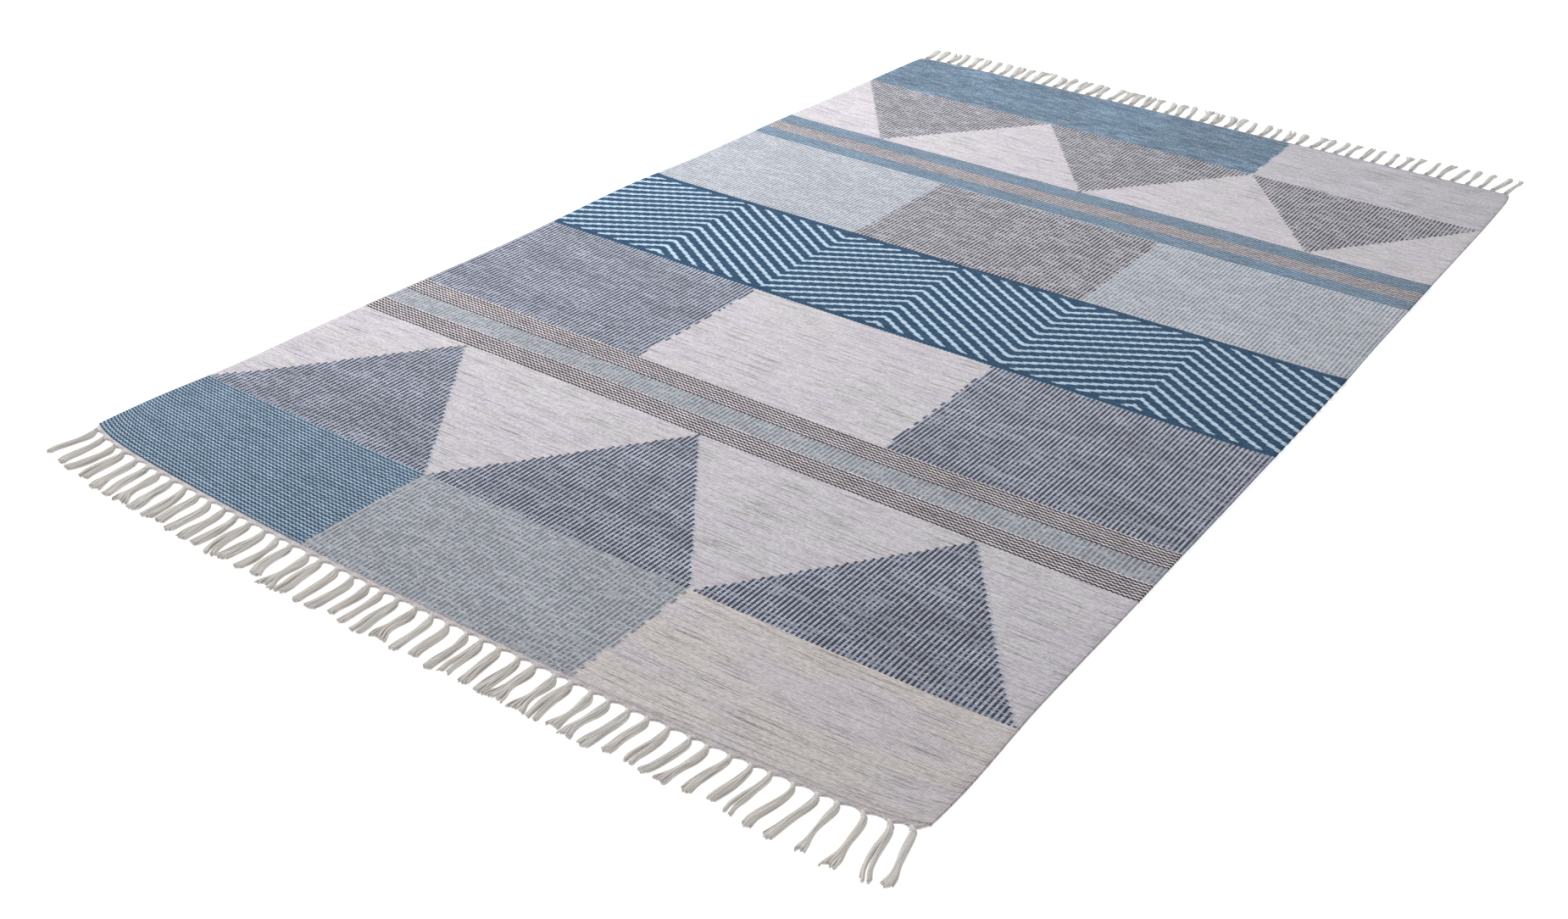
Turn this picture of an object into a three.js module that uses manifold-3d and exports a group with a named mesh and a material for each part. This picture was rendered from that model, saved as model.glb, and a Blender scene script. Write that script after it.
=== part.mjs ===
import * as THREE from 'three';
import { mergeVertices } from 'three/addons/utils/BufferGeometryUtils.js';
import Module from 'manifold-3d';

// A flat-woven rug lying on the floor, with a row of knotted tassels at each short end.
// Millimetres, X across the rug, Y along it from the near end to the far one, Z up, underside at Z = 0.

// Woven cloth
const RUG_WIDTH = 1400;
const WOVEN_LENGTH = 2400;
const CLOTH_THICKNESS = 4;
const HALF_WIDTH = RUG_WIDTH / 2;
const HALF_LENGTH = WOVEN_LENGTH / 2;

// Plain strip that closes the weave at each end, and the gap that parts it from the cloth
const STRIP_WIDTH = 9;
const STRIP_THICKNESS = 3;
const PIECE_GAP = 0.3;

// How far each long side lies in from half the rug's width, at places along the rug
const LEFT_SIDE = [
  { y: -1200, inset: 3 },
  { y: -1060, inset: 0 },
  { y: -900, inset: 6 },
  { y: -700, inset: 2 },
  { y: -330, inset: 6 },
  { y: 70, inset: -8 },
  { y: 290, inset: -2 },
  { y: 520, inset: -3 },
  { y: 800, inset: 1 },
  { y: 1200, inset: 1 },
];
const RIGHT_SIDE = [
  { y: -1200, inset: 3 },
  { y: -1080, inset: 1 },
  { y: -900, inset: 5 },
  { y: -600, inset: 2.5 },
  { y: -250, inset: 0 },
  { y: 120, inset: -2 },
  { y: 350, inset: 1 },
  { y: 900, inset: 2 },
  { y: 1200, inset: 5 },
];
const CORNER_INSET = { depth: 9, reach: 22 };
const SIDE_STEPS = 36;

// Tassels: their number at one end, how they lie, and one lock's cross-sections from the root outwards.
// A section lies past the edge of the weave by its own distance, plus a share of the tassel's length.
const TASSELS_PER_END = 50;
const LENGTH_SPREAD = 5;
const FROM_CORNER = 4;
const ROOT_STRAY = 2.5;
const ROOT_PULL = 4.5;
const TIP_STRAY = 4.5;
const BEND_SPREAD = 3;
const TIP_WIDTH = 16.5;
const WIDTH_SPREAD = 0.3;
const PARTED_WIDTH = 21;
const PARTED_SHARE = 0.44;
const ROOM_SHARE = 0.9;
const TOP_NARROWING = 0.6;
const WHOLE_LOCK = [
  { name: 'root', past: -5, share: 0, width: 12, height: 2.8, spread: 0 },
  { name: 'gathers', past: 3.5, share: 0, width: 6, height: 4.8, spread: 0 },
  { name: 'knot', past: 10, share: 0, width: 11.5, height: 7.5, spread: 0 },
  { name: 'body', past: 0, share: 0.55, width: 12, height: 6, spread: 0.75 },
  { name: 'tip', past: 0, share: 1, width: 12, height: 4, spread: 1 },
];
const PARTED_LOCK = [
  { name: 'in the knot', past: 7, share: 0, width: 5, height: 4, spread: 0 },
  { name: 'body', past: 0, share: 0.55, width: 8, height: 5.4, spread: 0.75 },
  { name: 'tip', past: 0, share: 1, width: 8, height: 3.4, spread: 1 },
];

// The two ends. Each draws back from straight in a wide bow and a quick turn within reach of the corner.
// At shares of the way from left to right, its tassels lean by an angle in degrees towards the right, and
// grow to a length and to a share of the full width.
const NEAR_END = {
  name: 'near_fringe',
  away: -1,
  left: { bow: 28, turn: 18 },
  right: { bow: 22, turn: 18 },
  reach: 40,
  seed: 1,
  partedEvery: 5,
  partedFirst: 3,
  leans: [
    { at: 0, lean: -8 },
    { at: 0.03, lean: 1 },
    { at: 0.07, lean: 5 },
    { at: 0.15, lean: 10 },
    { at: 0.25, lean: 6 },
    { at: 0.6, lean: 4 },
    { at: 0.84, lean: -6 },
    { at: 0.89, lean: -8 },
    { at: 0.95, lean: 12 },
    { at: 1, lean: 16 },
  ],
  growth: [
    { at: 0, length: 79, fullness: 0.94 },
    { at: 0.1, length: 82, fullness: 0.94 },
    { at: 0.25, length: 81, fullness: 0.94 },
    { at: 0.5, length: 77, fullness: 0.94 },
    { at: 0.68, length: 79, fullness: 0.94 },
    { at: 0.84, length: 78, fullness: 0.68 },
    { at: 0.95, length: 95, fullness: 0.64 },
    { at: 1, length: 92, fullness: 0.6 },
  ],
};
const FAR_END = {
  name: 'far_fringe',
  away: 1,
  left: { bow: 9, turn: 14 },
  right: { bow: -1, turn: 4 },
  reach: 30,
  seed: 2,
  partedEvery: 6,
  partedFirst: 2,
  leans: [
    { at: 0, lean: -10 },
    { at: 0.16, lean: -9 },
    { at: 0.26, lean: -4 },
    { at: 0.37, lean: -3 },
    { at: 0.45, lean: -10 },
    { at: 0.62, lean: -5 },
    { at: 0.7, lean: 5 },
    { at: 0.78, lean: -3 },
    { at: 0.9, lean: 3 },
    { at: 1, lean: 7 },
  ],
  growth: [
    { at: 0, length: 87, fullness: 1.1 },
    { at: 0.45, length: 88, fullness: 1.1 },
    { at: 0.66, length: 78, fullness: 0.85 },
    { at: 0.78, length: 87, fullness: 0.68 },
    { at: 0.92, length: 96, fullness: 0.62 },
    { at: 1, length: 97, fullness: 0.58 },
  ],
};

const wasm = await Module();
wasm.setup();

// A repeatable uneven number from -1 to 1 for tassel number i
function uneven(i, seed) {
  const wave = Math.sin((i + 1) * 12.9898 + seed * 78.233) * 43758.5453;
  return 2 * (wave - Math.floor(wave)) - 1;
}

// A value between two rows of a short table, straight or with soft turns at the rows
function between(rows, place, at, value, soft) {
  const next = Math.max(rows.findIndex((row) => row[place] >= at), 1);
  const [before, after] = [rows[next - 1], rows[next]];
  const share = THREE.MathUtils.clamp((at - before[place]) / (after[place] - before[place]), 0, 1);
  const eased = soft ? THREE.MathUtils.smoothstep(share, 0, 1) : share;
  return THREE.MathUtils.lerp(before[value], after[value], eased);
}

// The outermost edge of the weave at a short end, at a place across the rug
function endEdge(end, x) {
  const side = x < 0 ? end.left : end.right;
  const across = Math.abs(x) / HALF_WIDTH;
  const fromSide = HALF_WIDTH - Math.abs(x);
  const back = side.bow * across ** 2 + side.turn * Math.exp(-fromSide / end.reach);
  return end.away * (HALF_LENGTH - back);
}

// How far a long side lies in from half the rug's width, at a place along the rug
function sideInset(rows, y) {
  const fromEnd = Math.max(HALF_LENGTH - Math.abs(y), 0);
  return between(rows, 'y', y, 'inset', true) + CORNER_INSET.depth * Math.exp(-fromEnd / CORNER_INSET.reach);
}

function leftEdge(y) {
  return -HALF_WIDTH + sideInset(LEFT_SIDE, y);
}

function rightEdge(y) {
  return HALF_WIDTH - sideInset(RIGHT_SIDE, y);
}

function endCorners(end) {
  const y = end.away * HALF_LENGTH;
  return [leftEdge(y), rightEdge(y)];
}

function tasselRoots(end) {
  const [left, right] = endCorners(end);
  return Array.from({ length: TASSELS_PER_END }, (_, i) => {
    const evenly = THREE.MathUtils.lerp(left + FROM_CORNER, right - FROM_CORNER, i / (TASSELS_PER_END - 1));
    return evenly + ROOT_STRAY * uneven(i, end.seed + 40);
  });
}

// Places across a short end: its corners, each tassel's root and half way between roots
function endStations(end) {
  const [left, right] = endCorners(end);
  const roots = tasselRoots(end);
  const stations = roots.flatMap((x, i) => (i === 0 ? [x] : [(roots[i - 1] + x) / 2, x]));
  return [left, ...stations, right];
}

function clothOutline() {
  const setBack = STRIP_WIDTH + PIECE_GAP;
  const near = endStations(NEAR_END).map((x) => new THREE.Vector2(x, endEdge(NEAR_END, x) + setBack));
  const far = endStations(FAR_END).map((x) => new THREE.Vector2(x, endEdge(FAR_END, x) - setBack));
  const sidePoints = (edge, from, to) => Array.from({ length: SIDE_STEPS - 1 }, (_, i) => {
    const share = (1 - Math.cos((Math.PI * (i + 1)) / SIDE_STEPS)) / 2;
    const y = THREE.MathUtils.lerp(from.y, to.y, share);
    return new THREE.Vector2(edge(y), y);
  });
  return new THREE.Shape([
    ...near,
    ...sidePoints(rightEdge, near.at(-1), far.at(-1)),
    ...far.toReversed(),
    ...sidePoints(leftEdge, far[0], near[0]),
  ]);
}

function sharedPoints(geometry) {
  geometry.deleteAttribute('normal');
  geometry.deleteAttribute('uv');
  return mergeVertices(geometry);
}

function toSolid(geometry) {
  return new wasm.Manifold(new wasm.Mesh({
    numProp: 3,
    vertProperties: new Float32Array(geometry.attributes.position.array),
    triVerts: new Uint32Array(geometry.index.array),
  }));
}

function toGeometry(solid) {
  const mesh = solid.getMesh();
  const geometry = new THREE.BufferGeometry();
  geometry.setAttribute('position', new THREE.BufferAttribute(mesh.vertProperties, 3));
  geometry.setIndex(new THREE.BufferAttribute(mesh.triVerts, 1));
  geometry.computeVertexNormals();
  return geometry;
}

// The plain strip: a flat bar whose inner side follows the end of the weave, and whose outer side is
// pulled out a little at each tassel's root
function stripSolid(end) {
  const stations = endStations(end);
  const steps = stations.length - 1;
  const bar = sharedPoints(new THREE.BoxGeometry(steps, 1, 1, steps, 1, 1));
  const point = bar.attributes.position;
  for (let i = 0; i < point.count; i += 1) {
    const station = Math.round(point.getX(i) + steps / 2);
    const pull = station % 2 === 1 ? ROOT_PULL : 0;
    const outer = point.getY(i) * end.away > 0;
    const x = stations[station];
    const y = endEdge(end, x) + end.away * (outer ? pull : -STRIP_WIDTH);
    const z = point.getZ(i) > 0 ? STRIP_THICKNESS : 0;
    point.setXYZ(i, x, y, z);
  }
  return toSolid(bar);
}

// How each tassel of an end lies: its root, its run to the tip, its bend and its width at the tip
function layTassels(end) {
  const tassels = tasselRoots(end).map((rootX, i) => {
    const place = (i + 0.5) / TASSELS_PER_END;
    const angle = THREE.MathUtils.degToRad(between(end.leans, 'at', place, 'lean', false));
    const length = between(end.growth, 'at', place, 'length', false) + LENGTH_SPREAD * uneven(i, end.seed);
    const parted = i % end.partedEvery === end.partedFirst;
    return {
      root: new THREE.Vector2(rootX, endEdge(end, rootX)),
      run: new THREE.Vector2(
        length * Math.sin(angle) + TIP_STRAY * uneven(i, end.seed + 20),
        end.away * length * Math.cos(angle),
      ),
      bend: BEND_SPREAD * uneven(i, end.seed + 30),
      width: parted ? PARTED_WIDTH : TIP_WIDTH * (1 + WIDTH_SPREAD * uneven(i, end.seed + 10)),
      fullness: between(end.growth, 'at', place, 'fullness', false),
      parted,
    };
  });
  const tipX = (tassel) => tassel.root.x + tassel.run.x;
  return tassels.map((tassel, i) => {
    const beside = [tassels[i - 1], tassels[i + 1]].filter(Boolean);
    const room = Math.min(...beside.map((other) => Math.abs(tipX(other) - tipX(tassel))));
    return { ...tassel, width: tassel.fullness * Math.min(tassel.width, ROOM_SHARE * room) };
  });
}

// One four-sided lock that lies level on the floor, wide below and narrower on top. Its sections widen to
// the given width as they spread, and lie to one side of the tassel's middle line by the given offset.
// A thin tassel has a thin knot.
function lockSolid(tassel, sections, width, offset) {
  const rings = sections.length - 1;
  const bar = sharedPoints(new THREE.BoxGeometry(1, rings, 1, 1, rings, 1));
  const length = tassel.run.length();
  const along = tassel.run.clone().normalize();
  const away = Math.sign(along.y);
  const across = new THREE.Vector2(Math.abs(along.y), -along.x * away);
  const trim = (1 + Math.min(tassel.fullness, 1)) / 2;
  const point = bar.attributes.position;
  for (let i = 0; i < point.count; i += 1) {
    const section = sections[Math.round(away * point.getY(i) + rings / 2)];
    const distance = section.past + section.share * length;
    const bow = tassel.bend * Math.sin((Math.PI * distance) / length);
    const onTop = point.getZ(i) > 0;
    const half = THREE.MathUtils.lerp(section.width * trim, width, section.spread) / 2;
    const fromMiddle = Math.sign(point.getX(i)) * half * (onTop ? TOP_NARROWING : 1);
    const side = bow + offset * section.spread + fromMiddle;
    point.setXYZ(
      i,
      tassel.root.x + along.x * distance + across.x * side,
      tassel.root.y + along.y * distance + across.y * side,
      onTop ? section.height : 0,
    );
  }
  return toSolid(bar);
}

// A tassel is one lock, or where it has parted below its knot, a lock with a second one beside it
function tasselSolids(tassel) {
  if (!tassel.parted) {
    return [lockSolid(tassel, WHOLE_LOCK, tassel.width, 0)];
  }
  const width = PARTED_SHARE * tassel.width;
  const offset = (tassel.width - width) / 2;
  return [
    lockSolid(tassel, WHOLE_LOCK, width, -offset),
    lockSolid(tassel, PARTED_LOCK, width, offset),
  ];
}

function fringeMesh(end, material) {
  const locks = layTassels(end).flatMap(tasselSolids);
  const solid = locks.reduce((joined, lock) => joined.add(lock), stripSolid(end));
  const mesh = new THREE.Mesh(toGeometry(solid), material);
  mesh.name = end.name;
  return mesh;
}

function clothMesh(material) {
  const slab = new THREE.ExtrudeGeometry(clothOutline(), { depth: CLOTH_THICKNESS, bevelEnabled: false });
  const mesh = new THREE.Mesh(sharedPoints(slab), material);
  mesh.name = 'woven_cloth';
  return mesh;
}

const wovenYarn = new THREE.MeshStandardMaterial({ color: 0x9aa4ae, roughness: 0.95, metalness: 0 });
const naturalCotton = new THREE.MeshStandardMaterial({ color: 0xcfcbc4, roughness: 0.95, metalness: 0 });

const rug = new THREE.Group();
rug.add(clothMesh(wovenYarn));
rug.add(fringeMesh(NEAR_END, naturalCotton));
rug.add(fringeMesh(FAR_END, naturalCotton));

// The origin lies under the middle of the whole rug, tassels included
const middle = new THREE.Box3().setFromObject(rug).getCenter(new THREE.Vector3());
rug.position.set(-middle.x, -middle.y, 0);

export default rug;
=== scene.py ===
"""A flat-woven rug that lies on the floor, with a row of knotted tassels at each short end.

Metres, X across the rug and Y along it from the near end to the far one, Z up, underside at Z = 0.
"""

import math
from collections import namedtuple
from dataclasses import dataclass
from functools import partialmethod

import bpy
import numpy as np
from mathutils import Matrix, Vector


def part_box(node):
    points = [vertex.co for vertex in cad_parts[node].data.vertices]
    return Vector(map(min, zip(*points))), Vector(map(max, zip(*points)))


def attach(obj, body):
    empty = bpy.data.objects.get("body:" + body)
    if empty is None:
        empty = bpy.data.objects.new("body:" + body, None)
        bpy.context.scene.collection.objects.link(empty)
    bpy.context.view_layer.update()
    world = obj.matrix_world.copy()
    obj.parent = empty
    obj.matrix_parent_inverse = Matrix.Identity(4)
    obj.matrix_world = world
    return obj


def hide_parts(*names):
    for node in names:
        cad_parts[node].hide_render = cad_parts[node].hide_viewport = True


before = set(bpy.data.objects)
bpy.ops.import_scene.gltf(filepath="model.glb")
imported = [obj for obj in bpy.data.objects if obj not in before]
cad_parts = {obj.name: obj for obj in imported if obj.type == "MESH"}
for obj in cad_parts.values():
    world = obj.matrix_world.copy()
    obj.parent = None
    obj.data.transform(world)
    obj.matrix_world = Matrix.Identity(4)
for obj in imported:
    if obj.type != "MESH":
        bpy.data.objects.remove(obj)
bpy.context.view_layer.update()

bl_info = {
    "name": "Flat-woven rug",
    "version": (1, 0, 0),
    "blender": (4, 5, 0),
    "location": "3D View > Sidebar > Rug",
    "description": "Weaves a flat rug with knotted fringes and lays it in a plain studio",
    "category": "Object",
}

CLOTH_LOW, CLOTH_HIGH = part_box("woven_cloth")

# The rug's outline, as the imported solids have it
RUG_WIDTH = 1.4
WOVEN_LENGTH = 2.4
HALF_WIDTH = RUG_WIDTH / 2
HALF_LENGTH = WOVEN_LENGTH / 2
ROOT_PULL = 0.0045
ROOT_DRAW = 0.0016

Inset = namedtuple("Inset", "y depth")
LEFT_SIDE = (
    Inset(-1.2, 0.003),
    Inset(-1.06, 0),
    Inset(-0.9, 0.006),
    Inset(-0.7, 0.002),
    Inset(-0.33, 0.006),
    Inset(0.07, -0.008),
    Inset(0.29, -0.002),
    Inset(0.52, -0.003),
    Inset(0.8, 0.001),
    Inset(1.2, 0.001),
)
RIGHT_SIDE = (
    Inset(-1.2, 0.003),
    Inset(-1.08, 0.001),
    Inset(-0.9, 0.005),
    Inset(-0.6, 0.0025),
    Inset(-0.25, 0),
    Inset(0.12, -0.002),
    Inset(0.35, 0.001),
    Inset(0.9, 0.002),
    Inset(1.2, 0.005),
)
CORNER_INSET_DEPTH = 0.009
CORNER_INSET_REACH = 0.022

# Tassels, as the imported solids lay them
TASSELS_PER_END = 50
LENGTH_SPREAD = 0.005
FROM_CORNER = 0.004
ROOT_STRAY = 0.0025
TIP_STRAY = 0.0045
BEND_SPREAD = 0.0042
TIP_WIDTH = 0.0165
WIDTH_SPREAD = 0.3
SHOULDER_REACH = 0.013
SHOULDER_SPREAD = 0.0013
PARTED_WIDTH = 0.021
PARTED_SHARE = 0.44
ROOM_SHARE = 0.9

Bow = namedtuple("Bow", "bow turn")
Lean = namedtuple("Lean", "at degrees")
Growth = namedtuple("Growth", "at length fullness body", defaults=(1,))


@dataclass(frozen=True)
class End:
    """One short end: how it draws back from straight, how its tassels lie, and how much painted shade
    makes its cotton darker at the left and lighter at the right."""

    name: str
    away: int
    left: Bow
    right: Bow
    reach: float
    seed: int
    parted_every: int
    parted_first: int
    shoulder: float
    knot: float
    left_painted_shade: float
    leans: tuple
    growth: tuple


NEAR_END = End(
    name="near",
    away=-1,
    left=Bow(0.028, 0.018),
    right=Bow(0.022, 0.018),
    reach=0.04,
    seed=1,
    parted_every=5,
    parted_first=3,
    shoulder=0.003,
    knot=1,
    left_painted_shade=0.2,
    leans=(
        Lean(0, -8),
        Lean(0.03, 1),
        Lean(0.07, 5),
        Lean(0.15, 10),
        Lean(0.25, 6),
        Lean(0.6, 4),
        Lean(0.84, -6),
        Lean(0.89, -8),
        Lean(0.95, 12),
        Lean(1, 16),
    ),
    growth=(
        Growth(0, 0.079, 0.94, 1.2),
        Growth(0.1, 0.082, 0.94, 1.2),
        Growth(0.25, 0.081, 0.94, 1.22),
        Growth(0.5, 0.077, 0.94, 1.25),
        Growth(0.68, 0.079, 0.94, 1.2),
        Growth(0.84, 0.078, 0.68),
        Growth(0.95, 0.095, 0.64),
        Growth(1, 0.092, 0.6),
    ),
)
FAR_END = End(
    name="far",
    away=1,
    left=Bow(0.009, 0.014),
    right=Bow(-0.001, 0.004),
    reach=0.03,
    seed=2,
    parted_every=6,
    parted_first=2,
    shoulder=0.0004,
    knot=0.8,
    left_painted_shade=0.07,
    leans=(
        Lean(0, -10),
        Lean(0.16, -9),
        Lean(0.26, -4),
        Lean(0.37, -3),
        Lean(0.45, -10),
        Lean(0.62, -5),
        Lean(0.7, 5),
        Lean(0.78, -3),
        Lean(0.9, 3),
        Lean(1, 7),
    ),
    growth=(
        Growth(0, 0.087, 1.1),
        Growth(0.45, 0.088, 1.1),
        Growth(0.66, 0.078, 0.85),
        Growth(0.78, 0.087, 0.68),
        Growth(0.92, 0.096, 0.62),
        Growth(1, 0.097, 0.58),
    ),
)

# The weave: warps run along the rug and are hidden, picks of weft run across it and show.
# A pick shows over every second warp, as a bead two picks high.
SET_BACK = 0.0055
CLOTH_WIDTH = 1.396
CLOTH_LENGTH = WOVEN_LENGTH - 2 * SET_BACK
WARPS = 374
PICKS = 1447
WARP_PITCH = CLOTH_WIDTH / WARPS
PICK_PITCH = CLOTH_LENGTH / PICKS

# How far from an end its bow and its corner turns fade out of the picks
BOW_FADE = 0.36
TURN_FADE = 0.12

# Picks wander a little, and bend away from the near end where they turn at the long sides
Wave = namedtuple("Wave", "x y phase share")
WANDER = 0.0011
WANDER_WAVES = (
    Wave(5.1, 3.3, 1, 1),
    Wave(-8.7, 9.1, 0, 0.7),
)
SIDE_BEND = 0.0035
SIDE_BEND_REACH = 0.014
WANDER_FADE = 0.09

# The sides and the picks depend on each other's place, which a few rounds settle
LAY_ROUNDS = 3

# Bands of the design, by their distance from the near end of the cloth
Band = namedtuple("Band", "start end")
FIRST_BLOCKS = Band(0, 0.23)
NEAR_TRIANGLES = Band(0.23, 0.56)
NEAR_STRIPES = Band(0.56, 0.7)
NEAR_BLOCKS = Band(0.7, 1.03)
CHEVRONS = Band(1.03, 1.35)
FAR_BLOCKS = Band(1.35, 1.68)
FAR_STRIPES = Band(1.68, 1.82)
FAR_TRIANGLES = Band(1.82, 2.15)
LAST_BLOCKS = Band(2.15, 2.5)
COLUMN = CLOTH_WIDTH / 3
CHEVRON_RISE = 0.16
CHEVRON_PITCH = 0.0265
CHEVRON_LINE_SHARE = 0.66
CHEVRON_BORDER = 0.012

# Where the camera stands and looks, in the cloth's own frame
CAMERA_PLACE = Vector((1.3187, -2.4264, 1.2568))
CAMERA_TARGET = Vector((0.1328, -0.6113, 0))
CAMERA_ROLL = math.radians(2.732)
CAMERA_LENS = 39.912
CAMERA_SENSOR = 36

# The large soft light, and how far the floor lies below the rug
KEY_PLACE = Vector((-2.4, 0.5, 2.3))
KEY_TARGET = Vector((0.1, 0.1, 0))
KEY_SIZE = 2.2
FLOOR_DROP = 0.0002


# Each measure that changes from tassel to tassel or yarn to yarn has uneven numbers of its own
MEASURES = {
    "length": 0,
    "width": 10,
    "tip": 20,
    "bend": 30,
    "root": 40,
    "trim": 50,
    "sway": 51,
    "stray": 52,
    "flare": 60,
    "pinch": 61,
    "splay": 62,
    "waist": 63,
    "club": 64,
    "hook": 70,
    "wrap_place": 80,
    "wrap_turn": 81,
    "wrap_size": 82,
    "shoulder": 90,
}


UNEVEN_STEP = 12.9898
UNEVEN_SEED_STEP = 78.233
UNEVEN_SCALE = 43758.5453


def uneven(i, end, measure):
    """A repeatable uneven number from -1 to 1, for a measure of tassel or yarn i at a short end."""
    turn = (i + 1) * UNEVEN_STEP + (end.seed + MEASURES[measure]) * UNEVEN_SEED_STEP
    wave = math.sin(turn) * UNEVEN_SCALE
    return 2 * (wave - math.floor(wave)) - 1


def ease(share):
    """0 to 1 with soft turns at both."""
    share = np.clip(share, 0, 1)
    return share * share * (3 - 2 * share)


def between(rows, at, column=1, soft=False):
    """A value between two rows of a short table, straight or with soft turns at the rows."""
    table = np.array(rows, float).T
    places, values = table[0], table[column]
    after = np.clip(np.searchsorted(places, at), 1, len(rows) - 1)
    before = after - 1
    share = np.clip((at - places[before]) / (places[after] - places[before]), 0, 1)
    if soft:
        share = ease(share)
    return values[before] + share * (values[after] - values[before])


def drawn_back(end, x, from_end=0.0):
    """How far a short end, or a pick at a distance from it, draws back from straight."""
    bow = np.where(x < 0, end.left.bow, end.right.bow)
    turn = np.where(x < 0, end.left.turn, end.right.turn)
    from_side = HALF_WIDTH - np.abs(x)
    bow = bow * (np.abs(x) / HALF_WIDTH) ** 2 * (1 - ease(from_end / BOW_FADE))
    turn = turn * np.exp(-from_side / end.reach) * (1 - ease(from_end / TURN_FADE))
    return bow + turn


def end_edge(end, x):
    return end.away * (HALF_LENGTH - drawn_back(end, x))


def side_inset(rows, y):
    from_end = np.maximum(HALF_LENGTH - np.abs(y), 0)
    return between(rows, y, soft=True) + CORNER_INSET_DEPTH * np.exp(-from_end / CORNER_INSET_REACH)


def left_edge(y):
    return -HALF_WIDTH + side_inset(LEFT_SIDE, y)


def right_edge(y):
    return HALF_WIDTH - side_inset(RIGHT_SIDE, y)


def end_corners(end):
    y = end.away * HALF_LENGTH
    return left_edge(y), right_edge(y)


def tassel_roots(end):
    left, right = end_corners(end)
    evenly = np.linspace(left + FROM_CORNER, right - FROM_CORNER, TASSELS_PER_END)
    return evenly + np.array([ROOT_STRAY * uneven(i, end, "root") for i in range(TASSELS_PER_END)])


def sum_of(waves, x, y):
    return sum(w.share * np.sin(w.x * x + w.y * y + w.phase) for w in waves)


def wander(x, from_near):
    """How far a pick strays along the rug at a place, fading out at the short ends."""
    stray = sum_of(WANDER_WAVES, x, from_near)
    bend = SIDE_BEND * np.exp(-np.maximum(HALF_WIDTH - np.abs(x), 0) / SIDE_BEND_REACH)
    from_end = np.minimum(from_near, CLOTH_LENGTH - from_near)
    return (WANDER * stray + bend) * ease(from_end / WANDER_FADE)


def lay(across, along):
    """Where a place of the cloth lies on the floor, given its shares of the way across and along."""
    x = (across - 0.5) * RUG_WIDTH
    from_near = along * CLOTH_LENGTH
    for _ in range(LAY_ROUNDS):
        near = drawn_back(NEAR_END, x, from_near)
        far = drawn_back(FAR_END, x, CLOTH_LENGTH - from_near)
        y = -HALF_LENGTH + SET_BACK + from_near + near - far + wander(x, from_near)
        x = left_edge(y) + across * (right_edge(y) - left_edge(y))
    return x, y


def cad_shift():
    """From the cloth's own frame, with its middle at X = Y = 0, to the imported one."""
    steps = np.linspace(0, 1, 2001)
    side = np.zeros_like(steps)
    lowest_x = lay(side, steps)[0].min()
    highest_x = lay(side + 1, steps)[0].max()
    lowest_y = lay(steps, side)[1].min()
    highest_y = lay(steps, side + 1)[1].max()
    shift_x = (CLOTH_LOW.x + CLOTH_HIGH.x - lowest_x - highest_x) / 2
    shift_y = (CLOTH_LOW.y + CLOTH_HIGH.y - lowest_y - highest_y) / 2
    return np.array((shift_x, shift_y, 0))


SHIFT = cad_shift()

RIPPLES = (
    Wave(1.3, 3.1, 0.4, 0.34),
    Wave(-2.9, 4.7, 2.1, 0.26),
    Wave(6.3, -1.9, 4.4, 0.22),
    Wave(3.7, 8.3, 1.2, 0.18),
)
CURL_SHARE = 0.35
CURL_REACH = 0.02


def lift(x, y, height):
    """How high the underside lies over the floor: soft ripples, a little higher at the long sides."""
    from_side = HALF_WIDTH - np.abs(x)
    curl = 1 + np.sin(9.1 * y + 2 * np.sin(3.3 * y))
    curl = curl * CURL_SHARE * np.exp(-np.maximum(from_side, 0) / CURL_REACH)
    return height * (0.5 + 0.5 * sum_of(RIPPLES, x, y) + curl)


def dyed(red, green, blue):
    """A yarn's colour from screen values of 0 to 255, as the light it reflects."""
    shares = (value / 255 for value in (red, green, blue))
    return tuple(s / 12.92 if s <= 0.04045 else ((s + 0.055) / 1.055) ** 2.4 for s in shares)


def colour_property(name, description, colour):
    return bpy.props.FloatVectorProperty(
        name=name, description=description, subtype="COLOR", size=3, min=0, max=1, default=colour
    )


def length_property(name, description, length):
    return bpy.props.FloatProperty(
        name=name, description=description, unit="LENGTH", min=0, default=length, precision=5
    )


class RugCloth(bpy.types.PropertyGroup):
    """Sizes of the woven cloth"""

    thickness: length_property("Thickness", "Thickness of the cloth", CLOTH_HIGH.z - CLOTH_LOW.z)
    ripple: length_property("Ripple", "How high the cloth's soft ripples rise from the floor", 0.0011)
    columns: bpy.props.IntProperty(
        name="Columns", description="Steps of the mesh across the cloth", default=104, min=10
    )
    rows: bpy.props.IntProperty(
        name="Rows", description="Steps of the mesh along the cloth", default=230, min=10
    )


class RugFringe(bpy.types.PropertyGroup):
    """Sizes of the end strips, tassels and knots"""

    strip_thickness: length_property("Strip thickness", "Thickness of the plain end strips", 0.0039)
    yarn: length_property("Yarn", "Thickness of one yarn of a tassel", 0.0031)
    wrap: length_property("Wrap", "Thickness of the yarns that wrap a knot", 0.0024)


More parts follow.
